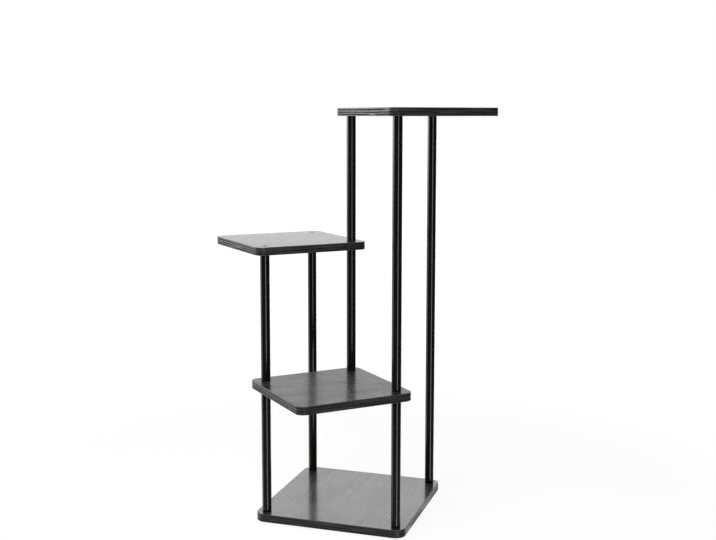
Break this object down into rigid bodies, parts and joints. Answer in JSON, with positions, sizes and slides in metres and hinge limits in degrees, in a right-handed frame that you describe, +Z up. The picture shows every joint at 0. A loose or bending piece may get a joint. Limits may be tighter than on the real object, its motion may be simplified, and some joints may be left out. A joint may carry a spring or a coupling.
{
  "type": "tiered plant stand",
  "caption": "Tall plant stand: a square base and small square shelves turned by 45 degrees, stepping up to the front, left and right on slim round posts.",
  "frame": {"origin": "centre of the stand's outline in plan, on the floor under its feet", "axes": "+Z up, +X to the stand's right, +Y to its back, away from the lower shelf's tip"},
  "size_m": [0.7048, 0.5452, 0.981],
  "materials": {
    "laminated_board": "black laminate with a pressed wood grain, satin",
    "edge_band": "black edge strip with fine lines along it, satin",
    "tube_paint": "black powder coat, semi-gloss",
    "plug_nylon": "black moulded nylon",
    "zinc_steel": "zinc plated",
    "black_bolt": "black oxide, satin",
    "foot_plastic": "black moulded plastic"
  },
  "bodies": {
    "frame": {"back_left_top_bolt": "black_bolt", "back_left_tube_low": "tube_paint", "back_left_tube_low_plugs": "plug_nylon", "back_left_tube_mid": "tube_paint", "back_left_tube_mid_plugs": "plug_nylon", "back_left_tube_stud_mid": "zinc_steel", "back_right_top_bolt": "black_bolt", "back_right_tube_high": "tube_paint", "back_right_tube_high_plugs": "plug_nylon", "back_right_tube_low": "tube_paint", "back_right_tube_low_plugs": "plug_nylon", "back_right_tube_mid": "tube_paint", "back_right_tube_mid_plugs": "plug_nylon", "back_right_tube_stud_high": "zinc_steel", "back_right_tube_stud_mid": "zinc_steel", "base_board": "laminated_board", "base_edge_band": "edge_band", "centre_board_stud": "zinc_steel", "centre_bottom_bolt": "black_bolt", "centre_top_bolt": "black_bolt", "centre_tube_high": "tube_paint", "centre_tube_high_plugs": "plug_nylon", "centre_tube_mid": "tube_paint", "centre_tube_mid_plugs": "plug_nylon", "front_left_board_stud": "zinc_steel", "front_left_top_bolt": "black_bolt", "front_left_tube_low": "tube_paint", "front_left_tube_low_plugs": "plug_nylon", "front_left_tube_mid": "tube_paint", "front_left_tube_mid_plugs": "plug_nylon", "front_right_board_stud": "zinc_steel", "front_right_top_bolt": "black_bolt", "front_right_tube_high": "tube_paint", "front_right_tube_high_plugs": "plug_nylon", "front_right_tube_low": "tube_paint", "front_right_tube_low_plugs": "plug_nylon", "front_right_tube_mid": "tube_paint", "front_right_tube_mid_plugs": "plug_nylon", "front_right_tube_stud_high": "zinc_steel", "lower_board": "laminated_board", "lower_edge_band": "edge_band", "middle_board": "laminated_board", "middle_edge_band": "edge_band", "top_board": "laminated_board", "top_edge_band": "edge_band"},
    "front_left_foot": {"front_left_foot_pad": "foot_plastic", "front_left_foot_stud": "zinc_steel"},
    "front_right_foot": {"front_right_foot_pad": "foot_plastic", "front_right_foot_stud": "zinc_steel"},
    "back_right_foot": {"back_right_foot_pad": "foot_plastic", "back_right_foot_stud": "zinc_steel"},
    "back_left_foot": {"back_left_foot_pad": "foot_plastic", "back_left_foot_stud": "zinc_steel"}
  },
  "joints": [
    {"name": "front_left_foot_adjust", "type": "slide", "parent": "frame", "child": "front_left_foot", "axis": [0, 0, -1], "range_m": [0, 0.006]},
    {"name": "front_right_foot_adjust", "type": "slide", "parent": "frame", "child": "front_right_foot", "axis": [0, 0, -1], "range_m": [0, 0.006]},
    {"name": "back_right_foot_adjust", "type": "slide", "parent": "frame", "child": "back_right_foot", "axis": [0, 0, -1], "range_m": [0, 0.006]},
    {"name": "back_left_foot_adjust", "type": "slide", "parent": "frame", "child": "back_left_foot", "axis": [0, 0, -1], "range_m": [0, 0.006]}
  ]
}
